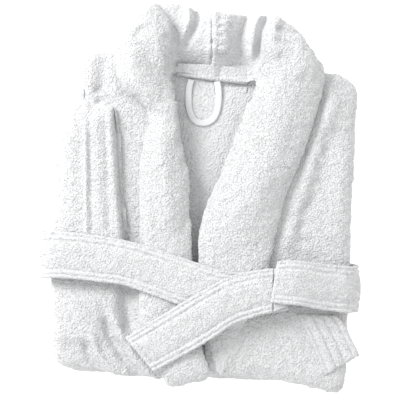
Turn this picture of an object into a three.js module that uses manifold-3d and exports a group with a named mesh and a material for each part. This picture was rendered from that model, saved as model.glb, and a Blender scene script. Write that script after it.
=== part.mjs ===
// Shawl-collar terry bathrobe, folded into a flat bundle and tied round with its own belt.
// Millimetres, +Z up, +Y towards the collar. The origin is the middle of the overall box, on the
// surface that the bundle lies on.

import * as THREE from "three";
import { mergeVertices } from "three/addons/utils/BufferGeometryUtils.js";
import Module from "manifold-3d";

// ---- Driving dimensions -------------------------------------------------------------------

const bundleWidth = 352; // side to side at the belt
const bundleLength = 454; // top edge of the collar to the lowest corner of the skirt
const collarWidth = 76; // neck seam to free edge, at the centre back
const neckWidth = 90; // between the ends of the back neck seam
const lapelWidth = 66; // the narrower, left lapel at the belt
const lapelExtra = 23; // how much more of the right lapel shows
const beltWidth = 53;
const beltThickness = 5; // four plies of terry, pressed flat
const beltSlack = 4; // space between the bundle's side and the belt round it
const skirtPly = 11; // each turned-up part of the skirt
const pocketPly = 3;
const sidePly = 10.6; // side and sleeve folded in behind
const backPly = 9.6;
const frontPly = 11.6;
const sleevePly = 13; // left sleeve, laid over the front
const underCollarPly = 3.4;
const collarGap = 1.5; // between the under collar and its facing, which bend round the neck
const collarPly = 6;
const facingPly = 1.8;
const tapeWidth = 5;
const loopWidth = 42; // outside of the hanger loop
const loopLength = 46;
const loopTape = 8; // width of the loop's own tape
const loopPly = 2.4;
const gap = 0.4; // between touching plies

const halfWidth = bundleWidth / 2;
const halfLength = bundleLength / 2;

// ---- Levels of the stack, from the floor up -------------------------------------------------

const skirtUnderTop = skirtPly + 1;
const pocketBottom = skirtUnderTop + gap;
const skirtUpperBottom = pocketBottom + pocketPly + gap;
const sideBottom = skirtUpperBottom + skirtPly + gap;
const backBottom = sideBottom + sidePly + gap;
const backTop = backBottom + backPly;
const frontBottom = backTop + gap;
const frontTop = frontBottom + frontPly;
const collarBase = frontTop + gap;
const collarTop = collarBase + gap + underCollarPly + collarGap + collarPly;
const sleeveTop = collarBase + sleevePly;
const pressedCrown = 2; // how far the lapels still rise where the belt presses them
const beltBottom = Math.max(collarTop + pressedCrown, sleeveTop) + 2 * gap;
const beltHalf = beltThickness / 2;
const lowRun = beltBottom + beltHalf; // middle of the left run
const midRun = lowRun + beltThickness + gap; // middle of the long tail at the knot
const highRun = midRun + beltThickness + gap; // middle of the right run over the knot

// ---- Places in the plan ---------------------------------------------------------------------

const top = halfLength;
const bottom = -halfLength;
const neckLine = top - 5 - collarWidth; // back neck seam at the centre
const beltLine = -64; // middle of the belt at the left side
const beltDrop = 37; // the belt lies this much lower at the right side
const vPoint = -8; // where the two lapels meet, across the bundle
const neckLeft = 15 - neckWidth / 2;
const neckRight = 15 + neckWidth / 2;
const lapelRight = vPoint + lapelWidth + lapelExtra + 5;

const terry = 0xf1f2f4;
const upwards = new THREE.Vector3(0, 0, 1);

const wasm = await Module();
wasm.setup();

const robe = new THREE.Group();
robe.name = "bathrobe";

// ---- Helpers --------------------------------------------------------------------------------

function add(name, geometry, { color = terry, roughness = 0.95 } = {}) {
  const material = new THREE.MeshStandardMaterial({ color, roughness, metalness: 0 });
  const mesh = new THREE.Mesh(geometry, material);
  mesh.name = name;
  robe.add(mesh);
}

// A closed outline through corner points, each corner rounded by the same radius.
function roundedOutline(corners, radius) {
  const shape = new THREE.Shape();
  const points = corners.map(([x, y]) => new THREE.Vector2(x, y));
  points.forEach((corner, i) => {
    const before = points[(i + points.length - 1) % points.length];
    const after = points[(i + 1) % points.length];
    const reachBefore = Math.min(radius, corner.distanceTo(before) * 0.45);
    const reachAfter = Math.min(radius, corner.distanceTo(after) * 0.45);
    const enter = corner.clone().lerp(before, reachBefore / corner.distanceTo(before));
    const leave = corner.clone().lerp(after, reachAfter / corner.distanceTo(after));
    if (i === 0) shape.moveTo(enter.x, enter.y);
    else shape.lineTo(enter.x, enter.y);
    shape.quadraticCurveTo(corner.x, corner.y, leave.x, leave.y);
  });
  shape.closePath();
  return shape;
}

// A flat ply with round folded rims. The outline is the ply's widest line.
function foldedPly(corners, floor, thickness, { radius = 20, curveSegments = 2 } = {}) {
  const roll = thickness * 0.42;
  const geometry = new THREE.ExtrudeGeometry(roundedOutline(corners, radius), {
    depth: thickness - 2 * roll,
    bevelThickness: roll,
    bevelSize: roll,
    bevelOffset: -roll,
    bevelSegments: 2,
    steps: 1,
    curveSegments,
  });
  geometry.translate(0, 0, floor + roll);
  return geometry;
}

// A smooth pair of rims through stations [inner point, outer point, crown].
function stripSurface(stations) {
  const [inner, outer] = [0, 1].map((rim) => {
    const points = stations.map((station) => new THREE.Vector3(...station[rim]));
    return new THREE.CatmullRomCurve3(points, false, "catmullrom", 0.5);
  });
  const crowns = stations.map((station) => station[2] ?? 0);
  return (across, along) => {
    const place = along * (stations.length - 1);
    const index = Math.min(Math.floor(place), stations.length - 2);
    const crown = THREE.MathUtils.lerp(crowns[index], crowns[index + 1], place - index);
    const point = inner.getPoint(along).lerp(outer.getPoint(along), across);
    point.z += crown * Math.sin(Math.PI * across);
    return point;
  };
}

// A strip of cloth between two distances from a surface, with round rims. The distances are
// taken straight up on a strip that lies down, and square to the surface on one that wraps.
function clothStrip(surface, near, far, { columns = 8, rows = 30, lying = false } = {}) {
  const geometry = new THREE.BoxGeometry(1, 1, 1, columns, rows, 1);
  const position = geometry.attributes.position;
  const step = 0.004;
  const middle = (near + far) / 2;
  const rimShare = 0.45; // of the ply's thickness, at its very rim
  for (let i = 0; i < position.count; i += 1) {
    const across = 0.5 - 0.5 * Math.cos(Math.PI * (position.getX(i) + 0.5));
    const along = THREE.MathUtils.clamp(position.getY(i) + 0.5, 0, 1);
    const side = Math.sign(position.getZ(i));
    const inAcross = THREE.MathUtils.clamp(across, step, 1 - step);
    const inAlong = THREE.MathUtils.clamp(along, step, 1 - step);
    const alongWay = surface(inAcross, inAlong + step).sub(surface(inAcross, inAlong - step));
    const acrossWay = surface(inAcross + step, inAlong).sub(surface(inAcross - step, inAlong));
    const normal = lying ? upwards : acrossWay.cross(alongWay).normalize();
    const fullness = rimShare + (1 - rimShare) * Math.sqrt(1 - (2 * across - 1) ** 4);
    const height = middle + side * ((far - near) / 2) * fullness;
    const point = surface(across, along).addScaledVector(normal, height);
    position.setXYZ(i, point.x, point.y, point.z);
  }
  return closed(geometry);
}

function closed(geometry) {
  geometry.deleteAttribute("normal");
  geometry.deleteAttribute("uv");
  return mergeVertices(geometry, 1e-4);
}

function solid(geometry) {
  const merged = closed(geometry.clone());
  if (!merged.index) merged.setIndex([...Array(merged.attributes.position.count).keys()]);
  return new wasm.Manifold(
    new wasm.Mesh({
      numProp: 3,
      vertProperties: new Float32Array(merged.attributes.position.array),
      triVerts: new Uint32Array(merged.index.array),
    }),
  );
}

function cut(geometry, ...cutters) {
  let body = solid(geometry);
  for (const cutter of cutters) body = body.subtract(solid(cutter));
  const mesh = body.getMesh();
  const result = new THREE.BufferGeometry();
  result.setAttribute("position", new THREE.BufferAttribute(mesh.vertProperties, 3));
  result.setIndex(new THREE.BufferAttribute(mesh.triVerts, 1));
  return result;
}

function block(x0, x1, y0, y1, z0, z1) {
  const geometry = new THREE.BoxGeometry(x1 - x0, y1 - y0, z1 - z0);
  geometry.translate((x0 + x1) / 2, (y0 + y1) / 2, (z0 + z1) / 2);
  return geometry;
}

// Middle of the belt, across the bundle: it drops evenly from the left side to the right.
function beltMiddle(x) {
  return beltLine - (beltDrop * (x + halfWidth)) / bundleWidth;
}

// ---- Turned-up skirt, at the bottom of the stack --------------------------------------------

const underPly = foldedPly(
  [
    [-halfWidth + 4, bottom + 24],
    [halfWidth - 8, bottom + 5],
    [halfWidth - 2, 60],
    [halfWidth, top - 88],
    [-halfWidth + 30, top - 86],
    [-halfWidth + 3, 60],
  ],
  0,
  skirtUnderTop,
  { radius: 30, curveSegments: 4 },
);

// The belt and its two loops lie in a hollow that they press into the underside.
const underRun = 4.4; // middle of the belt's run under the bundle
const loopStrip = 12;
const loopReach = beltWidth / 2 + 9;
const loopPlace = halfWidth - 66;
const hollowTop = underRun + beltHalf + gap;
const beltHollow = new THREE.ExtrudeGeometry(
  roundedOutline(
    [-1, 1, 1, -1].map((side, i) => {
      const x = side * (halfWidth + 30);
      return [x, beltMiddle(x) + (i < 2 ? -1 : 1) * (beltWidth / 2 + 2)];
    }),
    1,
  ),
  { depth: hollowTop + 5, bevelEnabled: false, curveSegments: 1 },
);
beltHollow.translate(0, 0, -5);

function loopBlock(side, spare) {
  const x = side * loopPlace;
  const y = beltMiddle(x);
  const half = loopStrip / 2 + spare;
  const reach = loopReach + spare;
  return block(x - half, x + half, y - reach, y + reach, 0.2 - spare * 6, 1.5 + spare);
}

add("skirt_under_fold", cut(underPly, beltHollow, loopBlock(-1, 0.5), loopBlock(1, 0.5)));
add("belt_loop_left", loopBlock(-1, 0));
add("belt_loop_right", loopBlock(1, 0));

const pocketWidth = 150;
const pocketHeight = 170;
for (const [name, middle] of [
  ["left_patch_pocket", -halfWidth / 2],
  ["right_patch_pocket", halfWidth / 2],
]) {
  const x0 = middle - pocketWidth / 2;
  const y0 = -pocketHeight / 2 - 70;
  const corners = [
    [x0, y0],
    [x0 + pocketWidth, y0],
    [x0 + pocketWidth, y0 + pocketHeight],
    [x0, y0 + pocketHeight],
  ];
  add(name, foldedPly(corners, pocketBottom, pocketPly, { radius: 8 }));
}

add(
  "skirt_upper_fold",
  foldedPly(
    [
      [-halfWidth + 1, bottom + 30],
      [halfWidth - 9, bottom + 14],
      [halfWidth - 3, 40],
      [halfWidth + 2, top - 84],
      [-halfWidth + 32, top - 80],
      [-halfWidth + 1, 40],
    ],
    skirtUpperBottom,
    skirtPly,
    { radius: 30 },
  ),
);

// ---- Left side, and the right sleeve with its cuff, folded in behind --------------------------

const backSplit = -2; // where the two meet
const cuffDepth = 86;
const rightCuffTop = -44;
add(
  "left_side_fold",
  foldedPly(
    [
      [-halfWidth + 2, bottom + 34],
      [backSplit - 1, bottom + 32],
      [backSplit - 1, neckLine - 8],
      [-halfWidth + 36, neckLine],
      [-halfWidth + 2, 70],
    ],
    sideBottom,
    sidePly,
    { radius: 26 },
  ),
);
add(
  "right_sleeve",
  foldedPly(
    [
      [backSplit + 1, rightCuffTop + gap],
      [halfWidth - 5, rightCuffTop + gap],
      [halfWidth + 4, neckLine - 6],
      [backSplit + 1, neckLine - 10],
    ],
    sideBottom,
    sidePly,
    { radius: 12 },
  ),
);
add(
  "right_cuff",
  foldedPly(
    [
      [backSplit + 1, rightCuffTop - cuffDepth],
      [halfWidth - 6, rightCuffTop - cuffDepth],
      [halfWidth - 5, rightCuffTop],
      [backSplit + 1, rightCuffTop],
    ],
    sideBottom,
    sidePly,
    { radius: 8 },
  ),
);

// ---- Back and fronts --------------------------------------------------------------------------

const leftShoulder = -halfWidth + 41;
const rightShoulder = halfWidth + 8;
const shoulderTop = neckLine + 28;
const leftSide = [
  [-halfWidth, beltLine],
  [-halfWidth + 6, -20],
  [-halfWidth + 14, 92],
  [leftShoulder - 3, 102],
  [leftShoulder, shoulderTop],
];
const rightSide = [
  [rightShoulder, neckLine - 6],
  [rightShoulder - 1, 84],
  [halfWidth + 2, -30],
  [halfWidth, beltMiddle(halfWidth)],
];
add(
  "back_panel",
  foldedPly(
    [
      ...leftSide,
      [-97, shoulderTop - 1],
      [neckLeft - 20, neckLine + 9],
      [neckLeft + 2, neckLine + 1],
      [neckRight - 2, neckLine - 9],
      [neckRight + 34, neckLine + 2],
      [rightShoulder - 42, neckLine + 6],
      ...rightSide,
      [halfWidth - 6, bottom + 22],
      [halfWidth - 40, bottom + 12],
      [-halfWidth + 16, bottom + 30],
      [-halfWidth + 2, bottom + 56],
    ],
    backBottom,
    backPly,
  ),
);
add(
  "left_front",
  foldedPly(
    [
      ...leftSide,
      [-97, shoulderTop - 1],
      [neckLeft - 30, neckLine + 12],
      [neckLeft - 14, neckLine - 18],
      [neckLeft - 4, 80],
      [vPoint - 9, 10],
      [vPoint - 6, -70],
      [vPoint - 5, -150],
      [vPoint - 16, bottom + 16],
      [-85, bottom + 22],
      [-halfWidth + 13, bottom + 30],
      [-halfWidth + 4, bottom + 52],
    ],
    frontBottom,
    frontPly,
  ),
);
add(
  "right_front",
  foldedPly(
    [
      ...rightSide,
      [halfWidth - 5, bottom + 38],
      [halfWidth - 8, bottom - 3],
      [129, bottom + 8],
      [60, bottom + 20],
      [vPoint + 12, bottom + 26],
      [vPoint + 6, -140],
      [vPoint + 6, -60],
      [vPoint + 14, -12],
      [vPoint + 40, 42],
      [neckRight - 8, 84],
      [neckRight + 6, neckLine - 28],
      [neckRight + 20, neckLine - 6],
      [neckRight + 42, neckLine + 3],
      [rightShoulder - 42, neckLine + 7],
    ],
    frontBottom,
    frontPly,
  ),
);

// ---- Left sleeve laid over the front, with its open cuff towards the lapel ---------------------

const cuffLeft = leftShoulder;
const cuffRight = vPoint - lapelWidth - 6;
const sleeveFoot = beltLine - beltWidth / 2 + 3;
const mouth = 2; // height of the flattened cuff's mouth
const mouthMiddle = collarBase + sleevePly / 2;
add(
  "left_sleeve",
  foldedPly(
    [
      [cuffLeft - 34, sleeveFoot],
      [cuffLeft - gap, sleeveFoot],
      [cuffLeft - gap, 100],
      [cuffLeft - 20, 96],
      [cuffLeft - 26, 80],
    ],
    collarBase,
    sleevePly - 3,
    { radius: 14 },
  ),
);
const cuffPly = foldedPly(
  [
    [cuffLeft, sleeveFoot],
    [cuffRight, sleeveFoot],
    [cuffRight - 8, 50],
    [cuffRight - 12, 118],
    [cuffLeft, 101],
  ],
  collarBase,
  sleevePly,
  { radius: 20, curveSegments: 2 },
);
add(
  "left_cuff",
  cut(
    cuffPly,
    block(
      cuffLeft + 12,
      cuffRight + 20,
      sleeveFoot + 8,
      94,
      mouthMiddle - mouth / 2,
      mouthMiddle + mouth / 2,
    ),
  ),
);

// ---- Shawl collar: two halves, each facing over its under collar, sewn at the centre back -------

const seam = 15; // centre-back seam, across the bundle
const lean = 22; // how far the free edge stands above the neck seam
const seat = backTop + 2 * gap + facingPly; // level of the neck seam
const rim = collarBase;
const leftStations = [
  [[vPoint + 21, bottom + 21, rim], [-38, bottom + 8, rim], 2],
  [[vPoint + 10, bottom + 56, rim], [-60, bottom + 49, rim], 2],
  [[vPoint + 3, -140, rim], [-74, -142, rim], 2],
  [[vPoint, -100, rim], [vPoint - lapelWidth - 1, -100, rim], 2],
  [[vPoint, -66, rim], [vPoint - lapelWidth, -60, rim], 2],
  [[vPoint - 1, -20, rim], [vPoint - lapelWidth, -15, rim], 5],
  [[vPoint - 3, 20, rim], [vPoint - lapelWidth + 1, 25, rim], 6],
  [[vPoint - 10, 60, rim], [vPoint - lapelWidth + 4, 64, rim], 6],
  [[neckLeft + 6, 95, rim], [vPoint - lapelWidth + 12, 100, rim], 6],
  [[neckLeft + 4, neckLine - 27, rim], [-88, 126, rim], 10],
  [[neckLeft, neckLine - 7, rim - 6], [-98, neckLine + 1, rim + 1], 16],
  [[neckLeft - 1, neckLine - 1, seat], [-97, neckLine + 31, rim + 3], 18],
  [[neckLeft, neckLine + 1, seat], [-83, neckLine + 58, rim + 5], 16],
  [[neckLeft + 3, neckLine + 2, seat], [-55, top - 1, seat + lean], 8],
  [[neckLeft + 12, neckLine + 1, seat], [-22, top, seat + lean], 3],
  [[seam - 20, neckLine, seat], [seam - 18, top - 6, seat + lean], 2],
  [[seam - gap, neckLine - 1, seat], [seam - gap, top - 9, seat + lean], 2],
];
const rightStations = [
  [[vPoint + 27, bottom + 24, rim], [vPoint + 34, bottom + 23, rim], 1],
  [[vPoint + 18, bottom + 56, rim], [vPoint + 50, bottom + 56, rim], 2],
  [[vPoint + 11, -140, rim], [vPoint + 65, -138, rim], 2],
  [[vPoint + 6, -100, rim], [lapelRight - 8, -100, rim], 2],
  [[vPoint + 5, -68, rim], [lapelRight, -64, rim], 2],
  [[vPoint + 6, -40, rim], [lapelRight + 5, -42, rim], 5],
  [[vPoint + 12, -10, rim], [lapelRight + 13, -8, rim], 8],
  [[vPoint + 25, 20, rim], [lapelRight + 25, 22, rim], 9],
  [[vPoint + 42, 60, rim], [lapelRight + 38, 58, rim], 9],
  [[neckRight - 12, 98, rim], [lapelRight + 51, 98, rim], 10],
  [[neckRight - 2, neckLine - 24, rim], [lapelRight + 57, 126, rim], 12],
  [[neckRight + 1, neckLine - 14, rim - 5], [lapelRight + 57, neckLine + 4, rim + 2], 16],
  [[neckRight + 2, neckLine - 9, seat], [lapelRight + 44, neckLine + 28, rim + 4], 18],
  [[neckRight + 1, neckLine - 7, seat], [lapelRight + 27, neckLine + 51, rim + 5], 16],
  [[neckRight - 3, neckLine - 5, seat], [lapelRight + 2, top - 14, seat + lean], 8],
  [[neckRight - 15, neckLine - 4, seat], [neckRight - 2, top - 13, seat + lean], 3],
  [[seam + 18, neckLine - 2, seat], [seam + 20, top - 11, seat + lean], 2],
  [[seam + gap, neckLine - 1, seat], [seam + gap, top - 9, seat + lean], 2],
];
const underNear = gap;
const underFar = underNear + underCollarPly;
const facingNear = underFar + collarGap;
const facingFar = facingNear + collarPly;
for (const [side, stations, turn] of [
  ["left", leftStations, false],
  ["right", rightStations, true],
]) {
  const surface = stripSurface(stations);
  // The strip runs the other way round on the left, so that its upper face is outward on both.
  const upward = turn ? surface : (across, along) => surface(1 - across, along);
  const shape = { columns: 7, rows: 32, lying: true };
  add(`under_collar_${side}`, clothStrip(upward, underNear, underFar, shape));
  add(`collar_facing_${side}`, clothStrip(upward, facingNear, facingFar, shape));
}

// ---- Inside the back neck: facing, seam tape and hanger loop -----------------------------------

const facingBottom = neckLine - 62;
add(
  "back_neck_facing",
  foldedPly(
    [
      [neckLeft + 5, facingBottom],
      [neckRight - 24, facingBottom],
      [neckRight - 4, neckLine - 32],
      [neckRight - 3, neckLine - 13],
      [neckLeft + 3, neckLine - 4],
    ],
    backTop + gap,
    facingPly,
    { radius: 4 },
  ),
);
const tapeBottom = seat;
const seamSlope = 9 / neckWidth; // the neck seam drops this much, per length, to the right
function neckEdge(x) {
  return neckLine - 5 - (x - neckLeft) * seamSlope;
}
const tapeEnds = [neckLeft + 5, neckRight - 6];
add(
  "neck_tape",
  foldedPly(
    [
      [tapeEnds[0], neckEdge(tapeEnds[0]) - tapeWidth],
      [tapeEnds[1], neckEdge(tapeEnds[1]) - tapeWidth],
      [tapeEnds[1], neckEdge(tapeEnds[1])],
      [tapeEnds[0], neckEdge(tapeEnds[0])],
    ],
    tapeBottom,
    loopPly,
    { radius: 2, curveSegments: 1 },
  ),
);

const loopMiddle = 4;
const loopTop = neckEdge(loopMiddle + loopWidth / 2) - tapeWidth - gap;
const legX = (loopWidth - loopTape) / 2;
const bendY = loopTop - loopLength + legX + loopTape / 2;
const loopOutline = new THREE.Shape();
loopOutline.moveTo(loopMiddle - legX - loopTape / 2, loopTop);
loopOutline.lineTo(loopMiddle - legX - loopTape / 2, bendY);
loopOutline.absarc(loopMiddle, bendY, legX + loopTape / 2, Math.PI, 2 * Math.PI, false);
loopOutline.lineTo(loopMiddle + legX + loopTape / 2, loopTop);
loopOutline.lineTo(loopMiddle + legX - loopTape / 2, loopTop);
loopOutline.absarc(loopMiddle, bendY, legX - loopTape / 2, 0, Math.PI, true);
loopOutline.lineTo(loopMiddle - legX + loopTape / 2, loopTop);
loopOutline.closePath();
const loopGeometry = new THREE.ExtrudeGeometry(loopOutline, {
  depth: loopPly,
  bevelEnabled: false,
  curveSegments: 14,
});
loopGeometry.translate(0, 0, tapeBottom);
add("hanger_loop", loopGeometry, { roughness: 0.85 });

// ---- Belt: under the bundle, up both sides, and crossed over on top ------------------------------

const wrapX = halfWidth + beltSlack + beltHalf;
const wrapFoot = 12; // where the side of the wrap starts
const backRunEnd = wrapFoot - 2;
const beltRim = beltWidth / 2;
const leftY = beltMiddle(-wrapX);
const rightY = beltMiddle(wrapX);
const beltNear = -beltHalf;
const beltFar = beltHalf;
const knotX = 76; // root of the long tail, just clear of the right run

// A station of the belt: its middle and level, how far its width is turned from +Y towards +X in
// degrees, and the share of its width that lies flat there.
function station(x, y, z, turn = 0, share = 1) {
  const angle = THREE.MathUtils.degToRad(turn);
  const [sideways, forwards] = [Math.sin(angle), Math.cos(angle)].map((part) => part * beltRim * share);
  return [[x - sideways, y - forwards, z], [x + sideways, y + forwards, z]];
}

// Half of the run under the bundle: distances in from its end, and levels, where it turns up.
const turnUp = [
  [0, backRunEnd],
  [1.5, underRun + 2.4],
  [6, underRun],
  [15, underRun],
  [35, underRun],
  [78, underRun],
];
add(
  "belt_back_run",
  clothStrip(
    stripSurface(
      [
        ...turnUp.map(([inset, z]) => [wrapX - inset, z]),
        [0, underRun],
        ...turnUp.toReversed().map(([inset, z]) => [inset - wrapX, z]),
      ].map(([x, z]) => station(x, beltMiddle(x), z)),
    ),
    beltNear,
    beltFar,
    { columns: 4, rows: 36 },
  ),
);
add(
  "belt_left_run",
  clothStrip(
    stripSurface([
      station(-wrapX, leftY, wrapFoot),
      station(-wrapX, leftY, lowRun * 0.5),
      station(-wrapX + 1, leftY, lowRun - 16),
      station(-wrapX + 9.5, leftY, lowRun - 3, -1),
      station(-wrapX + 27, leftY, lowRun, -2),
      station(-halfWidth * 0.66, beltLine - 2.5, lowRun, -1),
      station(-halfWidth * 0.48, beltLine - 7.5, lowRun, 3.4, 0.96),
      station(-halfWidth * 0.3, beltLine - 17.5, lowRun, 11, 0.98),
      station(-halfWidth * 0.09, beltLine - 30.5, lowRun, 12.8),
      station(halfWidth * 0.125, beltLine - 41.5, lowRun, 8.9, 0.97),
      station(halfWidth * 0.34, beltLine - 42.5, lowRun, 0, 0.92),
      station(halfWidth * 0.57, beltLine - 38, lowRun, 0, 0.9),
    ]),
    beltNear,
    beltFar,
    { columns: 4, rows: 44 },
  ),
);
add(
  "belt_right_run",
  clothStrip(
    stripSurface([
      station(knotX + 8.5, beltLine - 27.5, highRun, 8.8, 0.86),
      station(knotX + 37, beltLine - 29.5, highRun, 2.2, 0.96),
      station(wrapX - 40, rightY + 3, highRun - 9),
      station(wrapX - 15, rightY, frontTop + 12),
      station(wrapX - 3, rightY, frontTop - 2),
      station(wrapX, rightY, frontTop / 2),
      station(wrapX, rightY, wrapFoot),
    ]),
    beltNear,
    beltFar,
    { columns: 4, rows: 32 },
  ),
);

// The long tail comes out from under the right run, crosses the left run and lies on the skirt.
const rootY = beltLine - 39.5;
add(
  "belt_knot_turn",
  clothStrip(
    stripSurface([
      station(knotX, rootY, midRun, 2.2, 0.96),
      station(knotX + 11.5, rootY + 2, midRun, 1.2, 0.92),
      station(knotX + 22.5, rootY + 5.5, midRun, 1.2, 0.87),
    ]),
    beltNear,
    beltFar,
    { columns: 4, rows: 6 },
  ),
);
add(
  "belt_tail_long",
  clothStrip(
    stripSurface([
      station(knotX - 145, rootY - 71.5, lowRun + 1, -40, 0.94),
      station(knotX - 112, rootY - 52.5, lowRun + 2.5, -32.5, 0.98),
      station(knotX - 82, rootY - 35, midRun, -26),
      station(knotX - 44, rootY - 12, midRun, -12.8),
      station(knotX - 20, rootY - 4, midRun, -4.3),
      station(knotX - 2 * gap, rootY, midRun, 2.2, 0.96),
    ]),
    beltNear,
    beltFar,
    { columns: 4, rows: 26 },
  ),
);

// The short tail comes out from under the lower rim of the right run.
const tailLevel = frontTop + gap + beltHalf;
const shortX = wrapX - 47.5; // its root
const shortY = rightY - 29.2;
add(
  "belt_tail_short",
  clothStrip(
    stripSurface([
      station(shortX + 27.5, shortY - 58.5, tailLevel, 59.5, 0.86),
      station(shortX + 19.5, shortY - 38.5, tailLevel, 73.2, 0.85),
      station(shortX + 9.5, shortY - 17.5, tailLevel, 83.7, 0.86),
      station(shortX, shortY, tailLevel + 1, 92.5, 0.87),
    ]),
    beltNear,
    beltFar,
    { columns: 4, rows: 14 },
  ),
);

// The origin goes to the middle of the overall box, on the floor.
const box = new THREE.Box3().setFromObject(robe);
const middle = box.getCenter(new THREE.Vector3());
robe.position.set(-middle.x, -middle.y, -box.min.z);

export default robe;
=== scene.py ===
# A white terry bathrobe with a shawl collar, folded into a flat bundle and tied with its own belt.
# Metres, in the frame's own axes: +Y towards the collar, +Z up, the bundle lying on z = 0.
import math

import bmesh
import bpy
import numpy as np
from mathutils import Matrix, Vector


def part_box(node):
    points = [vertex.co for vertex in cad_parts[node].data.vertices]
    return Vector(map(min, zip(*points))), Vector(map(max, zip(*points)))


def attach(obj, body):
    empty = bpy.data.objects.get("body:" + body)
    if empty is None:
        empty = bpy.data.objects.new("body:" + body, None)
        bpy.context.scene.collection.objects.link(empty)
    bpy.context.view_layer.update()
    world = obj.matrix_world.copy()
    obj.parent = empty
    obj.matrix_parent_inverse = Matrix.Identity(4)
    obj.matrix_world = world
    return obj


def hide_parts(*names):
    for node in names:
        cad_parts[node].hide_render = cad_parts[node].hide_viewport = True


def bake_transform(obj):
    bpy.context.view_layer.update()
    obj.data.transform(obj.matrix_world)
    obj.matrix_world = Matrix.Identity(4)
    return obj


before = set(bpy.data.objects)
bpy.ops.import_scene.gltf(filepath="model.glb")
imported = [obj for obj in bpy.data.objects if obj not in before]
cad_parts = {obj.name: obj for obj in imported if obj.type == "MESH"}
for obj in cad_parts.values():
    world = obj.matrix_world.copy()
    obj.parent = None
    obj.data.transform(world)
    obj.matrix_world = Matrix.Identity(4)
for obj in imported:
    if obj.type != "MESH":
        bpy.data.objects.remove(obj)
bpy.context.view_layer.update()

MM = 0.001

# ---- Floor, light and camera -------------------------------------------------------------------
# A seamless pale sweep, one wide soft light from the collar's left and an even white room.

FLOOR_SIDE = 6.0
CAMERA_HEIGHT = 1.9
FRAME_WIDTH = 0.460  # width of the view at the level below
FRAME_LEVEL = 0.055
ROOM_LIGHT = 1.0
KEY_POWER = 54.0
KEY_SIDE = 0.9
FLOOR_GLOW = 0.5
KEY_PLACE = (-1.5, 1.2, 1.45)


def plain_material(name, colour, roughness):
    material = bpy.data.materials.new(name)
    material.use_nodes = True
    shader = material.node_tree.nodes["Principled BSDF"]
    shader.inputs["Base Color"].default_value = (*colour, 1)
    shader.inputs["Roughness"].default_value = roughness
    return material


floor_mesh = bpy.data.meshes.new("floor")
half_floor = FLOOR_SIDE / 2
floor_mesh.from_pydata(
    [(-half_floor, -half_floor, 0), (half_floor, -half_floor, 0),
     (half_floor, half_floor, 0), (-half_floor, half_floor, 0)],
    [], [(0, 1, 2, 3)])
floor = bpy.data.objects.new("floor", floor_mesh)
floor_white = plain_material("floor_white", (0.97, 0.97, 0.97), 0.9)
floor_shader = floor_white.node_tree.nodes["Principled BSDF"]
floor_shader.inputs["Emission Color"].default_value = (1, 1, 1, 1)
floor_shader.inputs["Emission Strength"].default_value = FLOOR_GLOW
floor.data.materials.append(floor_white)
bpy.context.collection.objects.link(floor)

world = bpy.data.worlds.new("white_room")
world.use_nodes = True
world.node_tree.nodes["Background"].inputs["Color"].default_value = (1, 1, 1, 1)
world.node_tree.nodes["Background"].inputs["Strength"].default_value = ROOM_LIGHT
bpy.context.scene.world = world

key_data = bpy.data.lights.new("key", "AREA")
key_data.energy = KEY_POWER
key_data.size = KEY_SIDE
key = bpy.data.objects.new("key", key_data)
key.location = KEY_PLACE
bpy.context.collection.objects.link(key)


def aim(thing, target, up="Y"):
    from mathutils import Vector
    way = Vector(target) - thing.location
    thing.rotation_euler = way.to_track_quat("-Z", up).to_euler()


aim(key, (0, 0, FRAME_LEVEL))

camera_data = bpy.data.cameras.new("camera")
camera_data.sensor_width = 36
camera_data.lens = 36 * (CAMERA_HEIGHT - FRAME_LEVEL) / FRAME_WIDTH
camera = bpy.data.objects.new("camera", camera_data)
camera.location = (0, -0.0016, CAMERA_HEIGHT)
bpy.context.collection.objects.link(camera)
bpy.context.scene.camera = camera
bpy.context.scene.view_settings.view_transform = "Standard"

# ---- Turned-up skirt ---------------------------------------------------------------------------
# The long skirt of the robe, turned up twice behind the body. Looped cotton terry on both faces,
# several plies deep, so each fold lies like a soft pad with a round turned rim.


def lattice_noise(points, lump, seed):
    """Smooth noise, about -1 to 1, whose lumps are that size. Points and lump in metres."""
    place = points / lump
    cell = np.floor(place).astype(np.int64)
    inside = place - cell
    ease = inside ** 3 * (inside * (inside * 6 - 15) + 10)
    total = np.zeros(len(points))
    for corner in np.ndindex(2, 2, 2):
        corner = np.array(corner)
        spot = cell + corner
        key_number = spot[:, 0] * 73856093 ^ spot[:, 1] * 19349663 ^ spot[:, 2] * 83492791
        key_number = (key_number ^ seed * 2654435761) & 0xFFFFFFFF
        key_number = (key_number ^ key_number >> 15) * 2246822519 & 0xFFFFFFFF
        key_number = (key_number ^ key_number >> 13) * 3266489917 & 0xFFFFFFFF
        slope = np.stack([key_number >> shift & 0x3FF for shift in (0, 10, 20)], 1) / 511.5 - 1
        weight = np.prod(np.where(corner, ease, 1 - ease), 1)
        total += weight * ((inside - corner) * slope).sum(1)
    return total * 1.6


def new_object(name, mesh):
    thing = bpy.data.objects.new(name, mesh)
    bpy.context.collection.objects.link(thing)
    return thing


def flattened(thing):
    """The object with its modifiers made into its own mesh."""
    graph = bpy.context.evaluated_depsgraph_get()
    mesh = bpy.data.meshes.new_from_object(thing.evaluated_get(graph))
    thing.modifiers.clear()
    thing.data = mesh
    return thing


def points_of(thing):
    flat = np.empty(len(thing.data.vertices) * 3)
    thing.data.vertices.foreach_get("co", flat)
    return flat.reshape(-1, 3)


def normals_of(thing):
    flat = np.empty(len(thing.data.vertices) * 3)
    thing.data.vertices.foreach_get("normal", flat)
    return flat.reshape(-1, 3)


def set_points(thing, points):
    thing.data.vertices.foreach_set("co", points.ravel())
    thing.data.update()


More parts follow.
